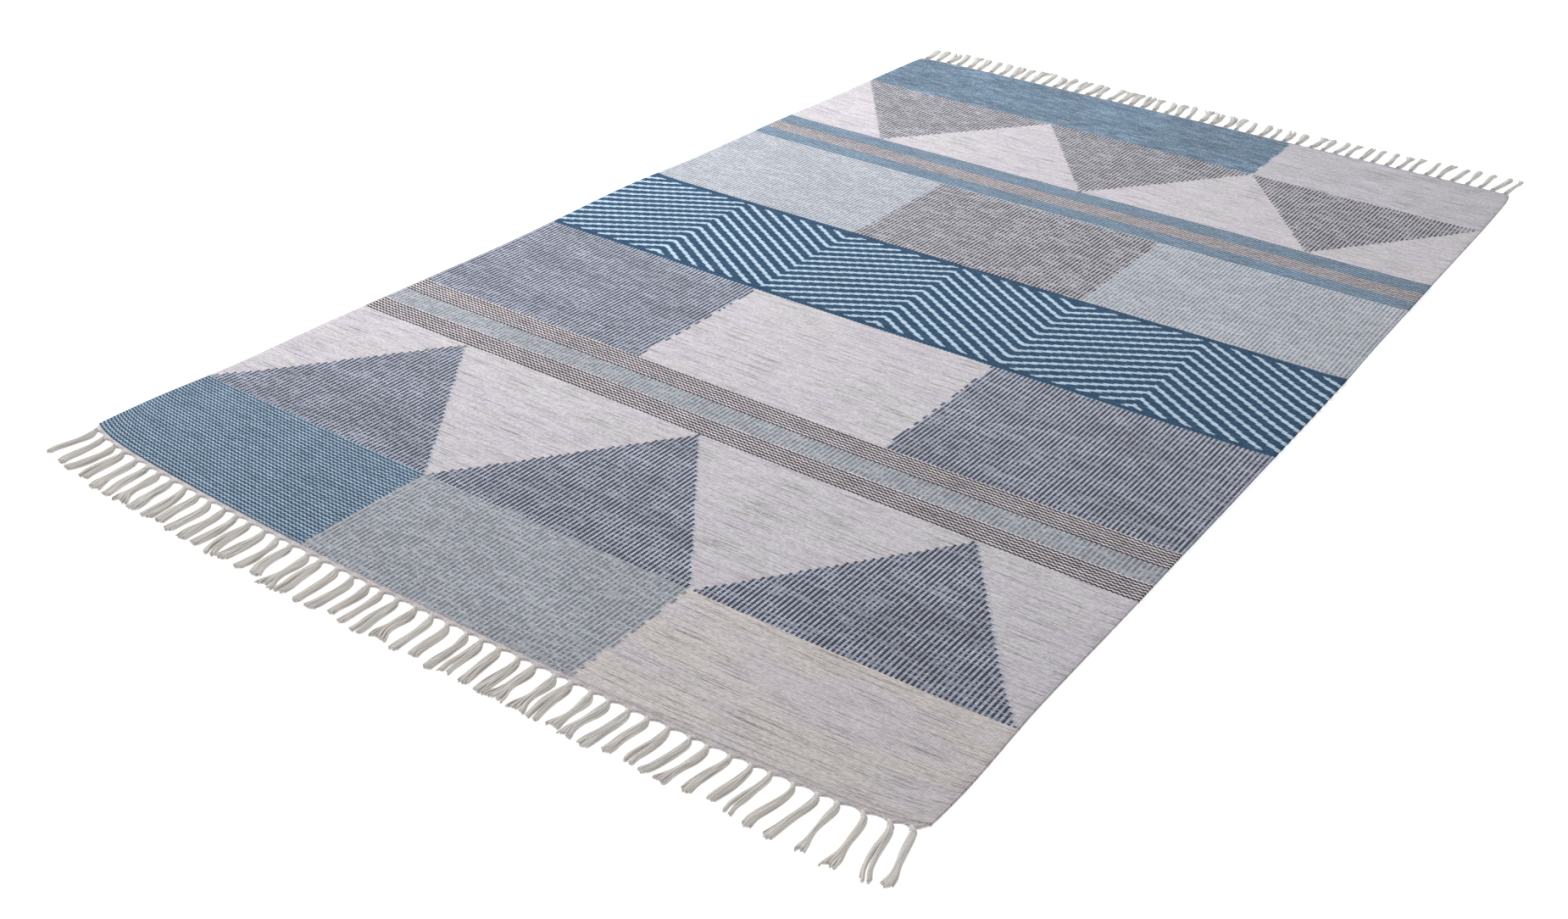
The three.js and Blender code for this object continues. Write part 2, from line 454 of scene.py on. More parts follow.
# Each yarn's use and its screen values
YARNS = {
    "pale": ("Undyed weft of the grounds", 217, 213, 218),
    "warm_pale": ("Undyed weft of the warm grounds", 220, 213, 211),
    "dove": ("Undyed weft of the last plain block", 203, 201, 207),
    "grey_blue": ("Darker weft of the light blue blocks", 128, 134, 145),
    "sky_blue": ("Light weft of the light blue blocks", 200, 203, 211),
    "lilac_white": ("Light weft of the taupe blocks", 213, 211, 221),
    "mist_blue": ("Light weft of the navy blocks", 202, 208, 226),
    "navy": ("Dark weft of the navy blocks", 23, 27, 51),
    "taupe": ("Dark weft of the taupe blocks", 34, 27, 33),
    "warm_grey": ("Light weft of the taupe stripes", 226, 218, 223),
    "teal": ("Dark weft of the teal blocks", 42, 76, 106),
    "frost_blue": ("Light weft of the teal blocks", 166, 188, 208),
    "ice_blue": ("Light weft of the heather blocks and the chevrons", 174, 198, 215),
    "steel_blue": ("Dark weft of the chevrons", 4, 68, 105),
    "ice_white": ("Light weft of the chevrons", 198, 221, 241),
    "blush": ("Lilac clouds in the undyed weft", 206, 199, 209),
    "heather_blue": ("Weft of the heather blocks", 97, 121, 145),
    "cotton": ("Undyed cotton of the near fringe", 224, 221, 217),
    "far_cotton": ("Undyed cotton of the far fringe", 222, 222, 219),
}


class RugColours(bpy.types.PropertyGroup):
    """Colours of the yarns"""

    __annotations__ = {
        name: colour_property(name.replace("_", " ").capitalize(), use, dyed(*screen))
        for name, (use, *screen) in YARNS.items()
    }


class RugStudio(bpy.types.PropertyGroup):
    """Floor and light"""

    floor: colour_property("Floor", "Colour of the floor", (0.9, 0.9, 0.9))
    floor_size: length_property("Floor size", "Length of the floor's sides", 30)
    floor_glow: bpy.props.FloatProperty(
        name="Floor glow", description="Light that the white sweep adds by itself", default=0.6, min=0
    )
    sky: bpy.props.FloatProperty(
        name="Sky", description="Brightness of the white surroundings", default=0.43, min=0
    )
    key: bpy.props.FloatProperty(
        name="Key light", description="Power of the large soft light", default=127, unit="POWER", min=0
    )


class Signal:
    """A value on its way through a material. Arithmetic on it adds the nodes that work it out."""

    def __init__(self, finish, socket):
        self.finish = finish
        self.socket = socket

    def math(self, operation, *others):
        values = dict(enumerate((self, *others)))
        return self.finish.node("ShaderNodeMath", values, operation=operation)

    def __rsub__(self, other):
        return self.finish.node("ShaderNodeMath", {0: other, 1: self}, operation="SUBTRACT")

    def odd(self):
        """1 for odd whole numbers, 0 for even ones."""
        return self - 2 * (self * 0.5).floor()

    def eased(self, low, high):
        """0 below low, 1 above high, with soft turns."""
        values = {0: self, 1: low, 2: high}
        return self.finish.node("ShaderNodeMapRange", values, interpolation_type="SMOOTHSTEP")


# The rest of a signal's arithmetic
SIGNAL_OPERATIONS = {
    "__add__": "ADD",
    "__radd__": "ADD",
    "__sub__": "SUBTRACT",
    "__mul__": "MULTIPLY",
    "__rmul__": "MULTIPLY",
    "__truediv__": "DIVIDE",
    "__gt__": "GREATER_THAN",
    "__lt__": "LESS_THAN",
    "__abs__": "ABSOLUTE",
    "at_least": "MAXIMUM",
    "floor": "FLOOR",
    "fraction": "FRACT",
    "sign": "SIGN",
    "root": "SQRT",
    "cosine": "COSINE",
}
for name, operation in SIGNAL_OPERATIONS.items():
    setattr(Signal, name, partialmethod(Signal.math, operation))


class Finish:
    """One material, built up node by node."""

    def __init__(self, name):
        self.material = bpy.data.materials.new(name)
        self.material.use_nodes = True
        self.tree = self.material.node_tree
        self.tree.nodes.clear()

    def node(self, kind, values=(), output=0, **settings):
        made = self.tree.nodes.new(kind)
        for setting, value in settings.items():
            setattr(made, setting, value)
        for place, value in dict(values).items():
            socket = made.inputs[place]
            if isinstance(value, Signal):
                self.tree.links.new(value.socket, socket)
            else:
                socket.default_value = value
        return Signal(self, made.outputs[output])

    def uv(self, name):
        return self.node("ShaderNodeUVMap", uv_map=name)

    def parts(self, vector):
        split = self.node("ShaderNodeSeparateXYZ", {0: vector})
        outputs = split.socket.node.outputs
        return tuple(Signal(self, outputs[axis]) for axis in ("X", "Y", "Z"))

    def place(self, x, y, z):
        return self.node("ShaderNodeCombineXYZ", {0: x, 1: y, 2: z})

    def noise(self, place, detail):
        values = {"Vector": place, "Scale": 1.0, "Detail": detail, "Roughness": 0.5}
        return self.node("ShaderNodeTexNoise", values)

    def patches(self, across, along, patch):
        place = self.place(across / patch.length, along / patch.height, patch.seed)
        return self.noise(place, patch.detail)

    def chance(self, x, y, z=0.0):
        """A random value from 0 to 1 for whole numbers."""
        return self.node("ShaderNodeTexWhiteNoise", {"Vector": self.place(x, y, z)})

    def mix(self, share, first, second):
        """A colour between two."""
        first, second = (c if isinstance(c, Signal) else (*c, 1) for c in (first, second))
        values = {0: share, 6: first, 7: second}
        return self.node("ShaderNodeMix", values, output=2, data_type="RGBA")

    def scaled(self, colour, factor):
        values = {0: colour if isinstance(colour, Signal) else tuple(colour), 3: factor}
        return self.node("ShaderNodeVectorMath", values, operation="SCALE")

    def cloth_like(self, colour, height, depth, sheen):
        """The finish of cotton: matt, with a little sheen, and raised by height times depth."""
        bump = self.node("ShaderNodeBump", {"Height": height, "Distance": depth, "Strength": 1.0})
        values = {
            "Base Color": colour,
            "Roughness": 0.92,
            "Specular IOR Level": 0.18,
            "Sheen Weight": sheen,
            "Sheen Roughness": 0.5,
            "Normal": bump,
        }
        shader = self.node("ShaderNodeBsdfPrincipled", values)
        self.node_out(shader)
        return self.material

    def node_out(self, shader):
        output = self.tree.nodes.new("ShaderNodeOutputMaterial")
        self.tree.links.new(shader.socket, output.inputs["Surface"])


# Patches of noise in the yarns, by their length across the rug and their height along it.
# A streak keeps to its own pick, a band runs over a few picks and a cloud over many.
Patch = namedtuple("Patch", "length height seed detail")
BANDS = Patch(0.055, 0.0065, 7.9, 3.0)
CLOUDS = Patch(0.22, 0.06, 4.1, 2.0)
FINE_STREAKS = Patch(0.085, 0.002, 6.1, 3.0)
GRAIN = Patch(0.007, 0.0012, 3.3, 2.0)
STRIP_STREAKS = Patch(0.03, 0.0016, 9.3, 3.0)
STREAK_LENGTH = 0.026
STREAK_STEP = 3.7
STREAK_SEED = 1.3

# The two plies of a yarn: how far apart their turns lie, in the cloth and along a tassel's yarn
CLOTH_PLY = (0.0011, 0.0009)
TASSEL_PLY = 0.0065
FUZZ_LENGTH = 0.0012

Bead = namedtuple("Bead", "warp pick crown")


def weave_bead(across, along):
    """The bead of weft at a place: its warp, its pick and its crown, 1 on top and 0 at its rim.
    Beads are lens-shaped, two warps long and two picks high, and interlock."""
    warps = across / WARP_PITCH
    picks = along / PICK_PITCH - 0.5
    warp = warps.floor()
    from_warp = warps - warp - 0.5
    parity = warp.odd()
    pick = 2 * ((picks - parity) * 0.5 + 0.5).floor() + parity
    from_pick = picks - pick
    reach = (abs(from_warp) * math.pi).cosine() * 0.5 + 0.5
    beside = abs(from_pick) > reach
    aside = abs(from_warp) + beside * (1 - 2 * abs(from_warp))
    upward = abs(from_pick) + beside * (1 - 2 * abs(from_pick))
    own_reach = reach + beside * (1 - 2 * reach)
    share = upward / own_reach.at_least(0.02)
    crown = (1 - share * share).at_least(0).root() * (1 - aside * aside)
    return Bead(warp + beside * from_warp.sign(), pick + beside * from_pick.sign(), crown)


def design(finish, bead):
    """Masks of the areas of the design at a bead, 1 inside and 0 outside. Slanted edges climb in steps
    of two warps and two picks, and upright joins are toothed, as weft is turned back round alternate
    warps."""
    pair = ((bead.warp * 0.5).floor() + 0.5) * (2 * WARP_PITCH)
    step = ((bead.pick * 0.5).floor() + 0.5) * (2 * PICK_PITCH)
    tooth = finish.chance((bead.pick * 0.25).floor(), 3.0) > 0.5
    column = ((bead.warp + 0.5 + tooth) * WARP_PITCH / COLUMN).floor()
    left = column < 0.5
    right = column > 1.5
    middle = 1 - left - right
    from_middle = abs((pair / COLUMN).fraction() - 0.5) * 2

    def inside(band):
        return (step > band.start) * (step < band.end)

    def rise(band):
        return (step - band.start) / (band.end - band.start)

    def thirds(band, first, second, third):
        """A band of three stripes, each of them 1 or 0."""
        share = rise(band)
        low = share < 1 / 3
        high = share > 2 / 3
        return inside(band) * (first * low + third * high + second * (1 - low - high))

    first = inside(FIRST_BLOCKS)
    near_triangle = inside(NEAR_TRIANGLES) * (from_middle < 1 - rise(NEAR_TRIANGLES))
    near_blocks = inside(NEAR_BLOCKS)
    far_blocks = inside(FAR_BLOCKS)
    far_triangle = inside(FAR_TRIANGLES) * (from_middle < rise(FAR_TRIANGLES))
    last = inside(LAST_BLOCKS)

    chevrons = inside(CHEVRONS)
    from_warp_line = abs(((bead.warp + 0.5) * WARP_PITCH / COLUMN).fraction() - 0.5) * 2
    height = (bead.pick + 0.5) * PICK_PITCH - CHEVRONS.start
    lines = ((height + from_warp_line * CHEVRON_RISE) / CHEVRON_PITCH).fraction() < CHEVRON_LINE_SHARE
    low_border = height < CHEVRON_BORDER
    high_border = height > CHEVRONS.end - CHEVRONS.start - CHEVRON_BORDER
    line = (lines + low_border + high_border) > 0.5
    masks = {
        "warm_pale": first * right,
        "dove": last * right,
        "light_blue": first * middle + far_blocks * (left + right) + thirds(NEAR_STRIPES, 0, 1, 0),
        "teal_ribs": first * left + thirds(FAR_STRIPES, 1, 0, 1),
        "taupe_ribs": thirds(NEAR_STRIPES, 1, 0, 1) + thirds(FAR_STRIPES, 0, 1, 0),
        "navy_hatch": near_triangle + near_blocks * (left + right),
        "taupe_hatch": far_blocks * middle + far_triangle,
        "heather": last * (left + middle),
        "chevron_line": chevrons * line,
        "chevron_ground": chevrons * (1 - line),
    }
    masks["hatched"] = masks["navy_hatch"] + masks["taupe_hatch"]
    masks["ribbed"] = masks["teal_ribs"] + masks["taupe_ribs"]
    masks["two_toned"] = masks["hatched"] + masks["ribbed"] + masks["light_blue"]
    masks["plain"] = 1 - masks["two_toned"]
    masks["undyed"] = masks["plain"] - masks["heather"] - masks["chevron_line"] - masks["chevron_ground"]
    return masks


# The two wefts of each area. In a plain area they are one, or the second shows only as stray yarn.
Wefts = namedtuple("Wefts", "area first second")
WEFTS = (
    Wefts("warm_pale", "warm_pale", "warm_pale"),
    Wefts("dove", "dove", "dove"),
    Wefts("light_blue", "grey_blue", "sky_blue"),
    Wefts("teal_ribs", "teal", "frost_blue"),
    Wefts("taupe_ribs", "taupe", "warm_grey"),
    Wefts("navy_hatch", "navy", "mist_blue"),
    Wefts("taupe_hatch", "taupe", "lilac_white"),
    Wefts("heather", "heather_blue", "ice_blue"),
    Wefts("chevron_line", "steel_blue", "ice_blue"),
    Wefts("chevron_ground", "ice_white", "ice_white"),
)


def weave_finish(colours):
    """The weft-faced weave: a bead takes the colour of its pick's yarn, and melange yarn is streaked."""
    finish = Finish("melange_weft")
    across, along, _ = finish.parts(finish.uv("weave"))
    bead = weave_bead(across, along)
    masks = design(finish, bead)

    first = second = colours.pale
    for wefts in WEFTS:
        first = finish.mix(masks[wefts.area], first, getattr(colours, wefts.first))
        second = finish.mix(masks[wefts.area], second, getattr(colours, wefts.second))

    def strength(*everywhere, **areas):
        """A strength that the whole cloth has, plus what some areas have besides."""
        start, *more = (*everywhere, *(masks[area] * share for area, share in areas.items()))
        return sum(more, start)

    late_pick = (bead.pick * 0.25).fraction() > 0.4
    takes_second = (masks["hatched"] + masks["light_blue"]) * bead.pick.odd()
    takes_second = takes_second + masks["ribbed"] * late_pick

    streak = finish.place(across / STREAK_LENGTH, bead.pick * STREAK_STEP, STREAK_SEED)
    streak = finish.noise(streak, detail=3.0)
    band = finish.patches(across, along, BANDS)
    cloud = finish.patches(across, along, CLOUDS)
    fine_streak = finish.patches(across, along, FINE_STREAKS)
    grain = finish.patches(across, along, GRAIN)
    speck = finish.chance(bead.warp, bead.pick)

    # Stray yarn of the one weft in the other, and dashes of the light one in the hatches' dark picks
    stray = (streak * 0.7 + band * 0.22 + speck * 0.08).eased(0.47, 0.59)
    lighter = strength(taupe_hatch=0.2, light_blue=0.46, ribbed=0.06, heather=0.5, chevron_line=0.08)
    darker = strength(hatched=0.36, light_blue=0.3, ribbed=0.08)
    share = takes_second + stray * (lighter - takes_second * (lighter + darker))
    dash = (streak * 0.8 + band * 0.2).eased(0.53, 0.57)
    share = share + masks["hatched"] * dash * (1 - takes_second) * (0.5 - 0.2 * stray)
    colour = finish.mix(share, first, second)
    colour = finish.mix(masks["undyed"] * cloud.eased(0.42, 0.6) * 0.6, colour, colours.blush)

    tone = 1 + strength(two_toned=0.5, hatched=0.25) * (streak - 0.5)
    tone = tone + strength(light_blue=0.2) * (along > CHEVRONS.end)
    tone = tone + strength(0.25, ribbed=0.7, heather=0.45) * (band - 0.5)
    tone = tone + strength(0.3, heather=0.6, navy_hatch=0.5) * (cloud - 0.5)
    tone = tone + strength(0.4, plain=-0.2) * (speck - 0.5)
    tone = tone - strength(undyed=0.48) * fine_streak.eased(0.5, 0.68)
    tone = tone + strength(0.35, undyed=0.35) * (grain - 0.5)
    # Painted shade: each bead's colour darkens towards its rim, where the beads meet, less so in the
    # undyed grounds
    shade = 1 - strength(0.32, undyed=-0.14) * (1 - bead.crown.root())
    colour = finish.scaled(colour, tone * shade)

    turn_across, turn_along = CLOTH_PLY
    ply = ((across / turn_across + along / turn_along) * 2 * math.pi).cosine()
    height = bead.crown + 0.08 * ply * bead.crown
    return finish.cloth_like(colour, height * strength(1, undyed=-0.35), depth=0.0007, sheen=0.12)


def cotton_finish(name, cotton, left_painted_shade):
    """Undyed cotton yarn of two plies: the yarn's map counts yarns across and metres along."""
    finish = Finish(name)
    around, along, _ = finish.parts(finish.uv("yarn"))
    yarn = around.floor()
    turn = around.fraction() * 2 + along / TASSEL_PLY
    ply = (turn * 2 * math.pi).cosine() * 0.5 + 0.5
    own = finish.chance(yarn, 2.0)
    tint = finish.chance((yarn / len(BUNDLE)).floor(), 6.0)
    fuzz = finish.noise(finish.place(around * 9, along / FUZZ_LENGTH, 2.2), detail=2.0)
    from_left = yarn / (TASSELS_PER_END * len(BUNDLE))
    # Painted shade: the cotton is coloured darker towards the left of the end and lighter towards the
    # right
    tone = (0.86 + 0.12 * own + 0.08 * fuzz) * (1 + left_painted_shade * (from_left - 0.5))
    blush = tuple(c * f for c, f in zip(cotton, (0.98, 0.95, 0.93)))
    colour = finish.mix(tint, cotton, blush)
    # Painted shade: the grooves between the two plies are coloured darker
    colour = finish.scaled(colour, tone * (0.92 + 0.08 * ply))
    return finish.cloth_like(colour, ply + 0.3 * fuzz, depth=0.00009, sheen=0.2)


def strip_finish(name, weft, blush):
    """The end strip's plain rows, of weft with a tinge of another colour."""
    finish = Finish(name)
    across, along, _ = finish.parts(finish.uv("weave"))
    bead = weave_bead(across, along)
    speck = finish.chance(bead.warp, bead.pick, 5.0)
    streak = finish.patches(across, along, STRIP_STREAKS)
    # The last factor is painted shade: each bead's colour darkens towards its rim, where the beads meet
    tone = (0.93 + 0.22 * speck + 0.3 * (streak - 0.5)) * (0.74 + 0.26 * bead.crown.root())
    colour = finish.scaled(finish.mix(0.35, weft, blush), tone)
    return finish.cloth_like(colour, bead.crown, depth=0.0005, sheen=0.12)


def floor_finish(studio):
    finish = Finish("studio_floor")
    values = {
        "Base Color": (*studio.floor, 1),
        "Roughness": 0.9,
        "Specular IOR Level": 0.1,
        "Emission Color": (1, 1, 1, 1),
        "Emission Strength": studio.floor_glow,
    }
    finish.node_out(finish.node("ShaderNodeBsdfPrincipled", values))
    return finish.material


def make_piece(name, points, faces, finish, maps):
    """A mesh piece in the rug's packed place. points are in the cloth's own frame, faces are arrays of
    faces with as many corners each, and maps give each corner its place in the named UV maps."""
    mesh = bpy.data.meshes.new(name)
    corners = np.concatenate([group.ravel() for group in faces])
    sizes = np.concatenate([np.full(len(group), group.shape[1]) for group in faces])
    mesh.vertices.add(len(points))
    mesh.vertices.foreach_set("co", (points + SHIFT).astype(np.float32).ravel())
    mesh.loops.add(len(corners))
    mesh.loops.foreach_set("vertex_index", corners.astype(np.int32))
    mesh.polygons.add(len(sizes))
    mesh.polygons.foreach_set("loop_start", (np.cumsum(sizes) - sizes).astype(np.int32))
    for map_name, places in maps.items():
        layer = mesh.uv_layers.new(name=map_name)
        layer.data.foreach_set("uv", places.astype(np.float32).ravel())
    mesh.polygons.foreach_set("use_smooth", np.full(len(sizes), True))
    mesh.update(calc_edges=True)
    mesh.validate()
    mesh.materials.append(finish)
    piece = bpy.data.objects.new(name, mesh)
    bpy.context.scene.collection.objects.link(piece)
    return piece


def rows_of(*columns):
    """One row for each place of a grid, with its value from each column."""
    return np.stack(np.broadcast_arrays(*columns), -1).reshape(-1, len(columns))


def grid_faces(rows, columns, start=0):
    """Four-cornered faces of a grid of points, counted along its rows."""
    corner = start + np.arange(rows - 1)[:, None] * columns + np.arange(columns - 1)
    return rows_of(corner, corner + 1, corner + columns + 1, corner + columns)


def slab_faces(rows, columns):
    """A closed slab: a grid on top, the same grid below, and the walls between them."""
    count = rows * columns
    top = grid_faces(rows, columns)
    bottom = grid_faces(rows, columns, count)[:, ::-1]
    index = np.arange(count).reshape(rows, columns)
    rim = np.concatenate([index[0, :-1], index[:-1, -1], index[-1, :0:-1], index[:0:-1, 0]])
    after = np.roll(rim, -1)
    return np.concatenate([top, bottom, rows_of(rim, rim + count, after + count, after)])


def dress(piece, slot, *nodes):
    """Hangs a piece under the root body and hides the CAD nodes that it stands for. slot is not used."""
    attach(piece, "root")
    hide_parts(*nodes)


# The first steps of the cloth's mesh, as shares of its width and length, and how thin it is there
SIDE_STEP = 0.008
END_STEP = 0.0018
THIN_SIDE = 0.55
THIN_END = 0.75
THIN_END_REACH = 0.012

# The cloth's two faces lie side by side in the bake map, the upper one larger
BAKE_TOP_END = 0.6
BAKE_BOTTOM_START = 0.62


def weave_cloth(settings, finish):
    """The cloth: a closed sheet that ripples a little, and thins where side turns and strips hold it."""
    inner = np.linspace(SIDE_STEP, 1 - SIDE_STEP, settings.columns - 3)
    across = np.concatenate([[0, 1 / WARPS], inner, [1 - 1 / WARPS, 1]])
    along = np.linspace(0, 1, settings.rows)
    along = np.concatenate([[0, END_STEP], along[1:-1], [1 - END_STEP, 1]])
    share_x, share_y = np.meshgrid(across, along)
    x, y = lay(share_x, share_y)
    from_side = np.minimum(share_x, 1 - share_x) * WARPS
    from_end = np.minimum(share_y, 1 - share_y) * CLOTH_LENGTH
    thin_side = np.minimum(THIN_SIDE + (1 - THIN_SIDE) * from_side, 1)
    thin_end = np.minimum(THIN_END + from_end / THIN_END_REACH, 1)
    middle = lift(x, y, settings.ripple) + settings.thickness / 2
    half = thin_side * thin_end * settings.thickness / 2
    points = np.concatenate([rows_of(x, y, middle + half), rows_of(x, y, middle - half)])
    faces = slab_faces(*share_x.shape)

    shares = rows_of(share_x, share_y)
    weave = np.concatenate([shares, shares]) * (CLOTH_WIDTH, CLOTH_LENGTH)
    bake_top = shares * (BAKE_TOP_END, 1)
    bake_bottom = shares * (1 - BAKE_BOTTOM_START, 1) + (BAKE_BOTTOM_START, 0)
    flat_map = np.concatenate([bake_top, bake_bottom])

    # The walls take the map of the upper face
    corners = faces.copy()
    rows, columns = share_x.shape
    corners[2 * (rows - 1) * (columns - 1) :] %= rows * columns
    maps = {"weave": weave[corners], "OFBake": flat_map[corners]}
    return make_piece("kilim_cloth", points, [faces], finish, maps)


def unit(vectors):
    return vectors / np.linalg.norm(vectors, axis=1)[:, None]


def rings_round(centres, radii, angles, side, upward):
    """Rings of points round a line, in the plane of two directions at each of its places."""
    ring = np.cos(angles)[None, :, None] * side[:, None, :]
    ring = ring + np.sin(angles)[None, :, None] * upward[:, None, :]
    return (centres[:, None, :] + radii * ring).reshape(-1, 3)


def tube_points(centres, radii, sides, flat=1.0, phase=0.0):
    """Rings round a line that lies level. radii has one radius for each ring, and flat squashes them."""
    run = unit(np.gradient(centres, axis=0))
    side = unit(np.cross(run, (0, 0, 1.0)))
    angles = phase + np.arange(sides) * 2 * np.pi / sides
    return rings_round(centres, radii[:, None, None], angles, side, flat * np.cross(side, run))


def tube_faces(rings, sides, closed=False):
    """Faces of a tube that is open at its ends, or closed round to its first ring."""
    ring = np.arange(rings if closed else rings - 1)[:, None]
    side = np.arange(sides)
    after = (side + 1) % sides
    start = ring * sides
    next_start = (ring + 1) % rings * sides
    return rows_of(start + side, start + after, next_start + after, next_start + side)


def make_capped(name, points, faces, finish, maps, rings, sides):
    """A piece of tubes, with a flat fan of faces over each open ring."""
    tubes = len(points) // (rings * sides)
    starts = np.arange(tubes)[:, None] * rings * sides
    open_rings = [starts + end_ring * sides + np.arange(sides) for end_ring in (0, rings - 1)]
    caps = []
    for number, ring in enumerate(open_rings):
        hub = len(points) + number * tubes + np.arange(tubes)[:, None]
        after = np.roll(ring, -1, axis=1)
        pair = (ring, after) if number else (after, ring)
        caps.append(rows_of(*pair, hub))
    caps = np.concatenate(caps)

    def with_hubs(values):
        return np.concatenate([values, *(values[ring].mean(axis=1) for ring in open_rings)])

    capped_maps = {}
    for map_name, corners in maps.items():
        corners = corners.reshape(-1, 2)
        at_points = np.zeros((len(points), 2))
        at_points[faces.ravel()] = corners
        capped_maps[map_name] = np.concatenate([corners, with_hubs(at_points)[caps].reshape(-1, 2)])
    return make_piece(name, with_hubs(points), [faces, caps], finish, capped_maps)


# The weft turns at the long sides: beads with a waist between them
SIDE_TURN_RADIUS = 0.0023
SIDE_TURN_WAIST = 0.26
SIDE_TURN_FLATNESS = 0.92
SIDE_TURN_SIDES = 9
RINGS_PER_TURN = 4


def wrap_side(name, is_right, cloth, finish):
    """The weft turns round the outermost warps: a beaded cord along a long side."""
    first_pick = (WARPS - 1) % 2 if is_right else 0
    picks = np.arange(first_pick - 1, PICKS + 1, 2 / RINGS_PER_TURN)
    picks = picks[(picks >= 0) & (picks <= PICKS - 1)]
    along = (picks + 0.5) / PICKS
    x, y = lay(np.full_like(along, 1.0 if is_right else 0.0), along)
    inward = -1 if is_right else 1
    from_crown = np.abs((picks - first_pick + 1) % 2 - 1)
    radii = SIDE_TURN_RADIUS * (1 - SIDE_TURN_WAIST * from_crown**2)
    height = lift(x, y, cloth.ripple) + cloth.thickness / 2
    centres = rows_of(x + inward * SIDE_TURN_RADIUS, y, height)
    points = tube_points(centres, radii, SIDE_TURN_SIDES, flat=SIDE_TURN_FLATNESS)
    faces = tube_faces(len(picks), SIDE_TURN_SIDES)
    around = np.arange(SIDE_TURN_SIDES) / SIDE_TURN_SIDES
    outermost = (CLOTH_WIDTH - WARP_PITCH / 2) if is_right else WARP_PITCH / 2
    weave = rows_of(outermost + (around - 0.5) * WARP_PITCH * 0.5, along[:, None] * CLOTH_LENGTH)
    flat_map = rows_of(around, along[:, None])
    maps = {"weave": weave[faces], "OFBake": flat_map[faces]}
    return make_capped(name, points, faces, finish, maps, len(picks), SIDE_TURN_SIDES)


# The end strip. Its inner side is tucked under the cloth, more so away from the left corner, and its
# outer side is rounded, raised a little from below, and lies closer to the floor than the cloth.
STRIP_ROWS = 3
STEPS_PER_WARP = 4
STEPS_PER_STRIP = 12
STRIP_RELIEF = 0.0006
STRIP_TUCK = 0.0006
STRIP_WIDENS = 0.0024
STRIP_WIDENS_FROM = 0.1
STRIP_WIDENS_OVER = 0.4
STRIP_SETTLES = 0.6
STRIP_RAISED = 0.2
STRIP_ROUNDING = 5
SCALLOP_SHARPNESS = 1.9


def strip_bead(across, row):
    """The crown of the strip's lens-shaped beads at places given in warps and rows."""
    warp = np.floor(across)
    from_warp = across - warp - 0.5
    shift = 0.5 * (warp % 2)
    from_row = 2 * (np.abs((row + shift) % 1 - 0.5))
    reach = 0.5 + 0.5 * np.cos(np.pi * np.abs(from_warp))
    beside = from_row > reach
    upward = np.where(beside, 1 - from_row, from_row)
    own_reach = np.maximum(np.where(beside, 1 - reach, reach), 0.05)
    aside = np.where(beside, 1 - np.abs(from_warp), np.abs(from_warp))
    return np.sqrt(np.clip(1 - (upward / own_reach) ** 2, 0, 1)) * (1 - aside**2)


def scallop(end, x):
    """How far the strip's outer side is pulled out towards the nearest tassel's root, or draws back
    between two of them."""
    roots = tassel_roots(end)
    spacing = RUG_WIDTH / TASSELS_PER_END
    nearest = np.abs(x[..., None] - roots).min(axis=-1)
    pull = np.clip(1 - nearest / (spacing / 2), 0, 1) ** SCALLOP_SHARPNESS
    return (ROOT_PULL + ROOT_DRAW) * pull - ROOT_DRAW


def lay_strip(end, cloth, fringe, finish):
    """The plain strip that closes the weave: rows of beads, with its outer side scalloped."""
    steps = WARPS * STEPS_PER_WARP + 1
    share, from_inner = np.meshgrid(np.linspace(0, 1, steps), np.linspace(0, 1, STEPS_PER_STRIP + 1))
    left, right = end_corners(end)
    cloth_x, _ = lay(share, np.full_like(share, 1.0 if end.away > 0 else 0.0))
    outer_x = left + share * (right - left)
    x = cloth_x + from_inner * (outer_x - cloth_x)
    tuck = STRIP_TUCK + STRIP_WIDENS * ease((share - STRIP_WIDENS_FROM) / STRIP_WIDENS_OVER)
    inner_y = end_edge(end, x) - end.away * (SET_BACK + tuck)
    outer_y = end_edge(end, x) + end.away * scallop(end, x)
    y = inner_y + from_inner * (outer_y - inner_y)
    crown = strip_bead(share * WARPS, from_inner * STRIP_ROWS)
    rounding = np.sqrt(np.clip(1 - from_inner**STRIP_ROUNDING, 0, 1))
    low = lift(x, y, cloth.ripple) * (1 - STRIP_SETTLES * from_inner)
    body = fringe.strip_thickness - STRIP_RELIEF
    top = rows_of(x, y, low + body * (0.5 + 0.5 * rounding) + STRIP_RELIEF * crown)
    bottom = rows_of(x, y, low + body * STRIP_RAISED * (1 - rounding))
    faces = slab_faces(*share.shape)
    if end.away < 0:
        faces = faces[:, ::-1]
    weave = rows_of(share * CLOTH_WIDTH, from_inner * STRIP_ROWS * 2 * PICK_PITCH)
    weave = np.concatenate([weave, weave])
    flat_map = rows_of(share, from_inner * 0.5)
    flat_map = np.concatenate([flat_map, flat_map + (0, 0.5)])
    maps = {"weave": weave[faces], "OFBake": flat_map[faces]}
    return make_piece(f"{end.name}_end_strip", np.concatenate([top, bottom]), [faces], finish, maps)


@dataclass
class Tassel:
    """How one tassel lies, from its root to its tip."""

    root: np.ndarray
    run: np.ndarray
    bend: float
    shoulder: float
    width: float
    parted: bool
    number: int
    end: End
    fullness: float
    body: float

    @property
    def length(self):
        return float(np.linalg.norm(self.run))

    def centre(self, distance):
        """The middle line, level on the floor, and the direction across it."""
        along = self.run / self.length
        across = np.array((abs(along[1]), -along[0] * self.end.away))
        out = np.maximum(distance / SHOULDER_REACH, 0)
        shoulder = self.shoulder * out**1.5 * np.exp(1 - out)
        bow = self.bend * np.sin(np.pi * distance / self.length) + shoulder
        points = self.root + distance[:, None] * along + bow[:, None] * across
        return points, across


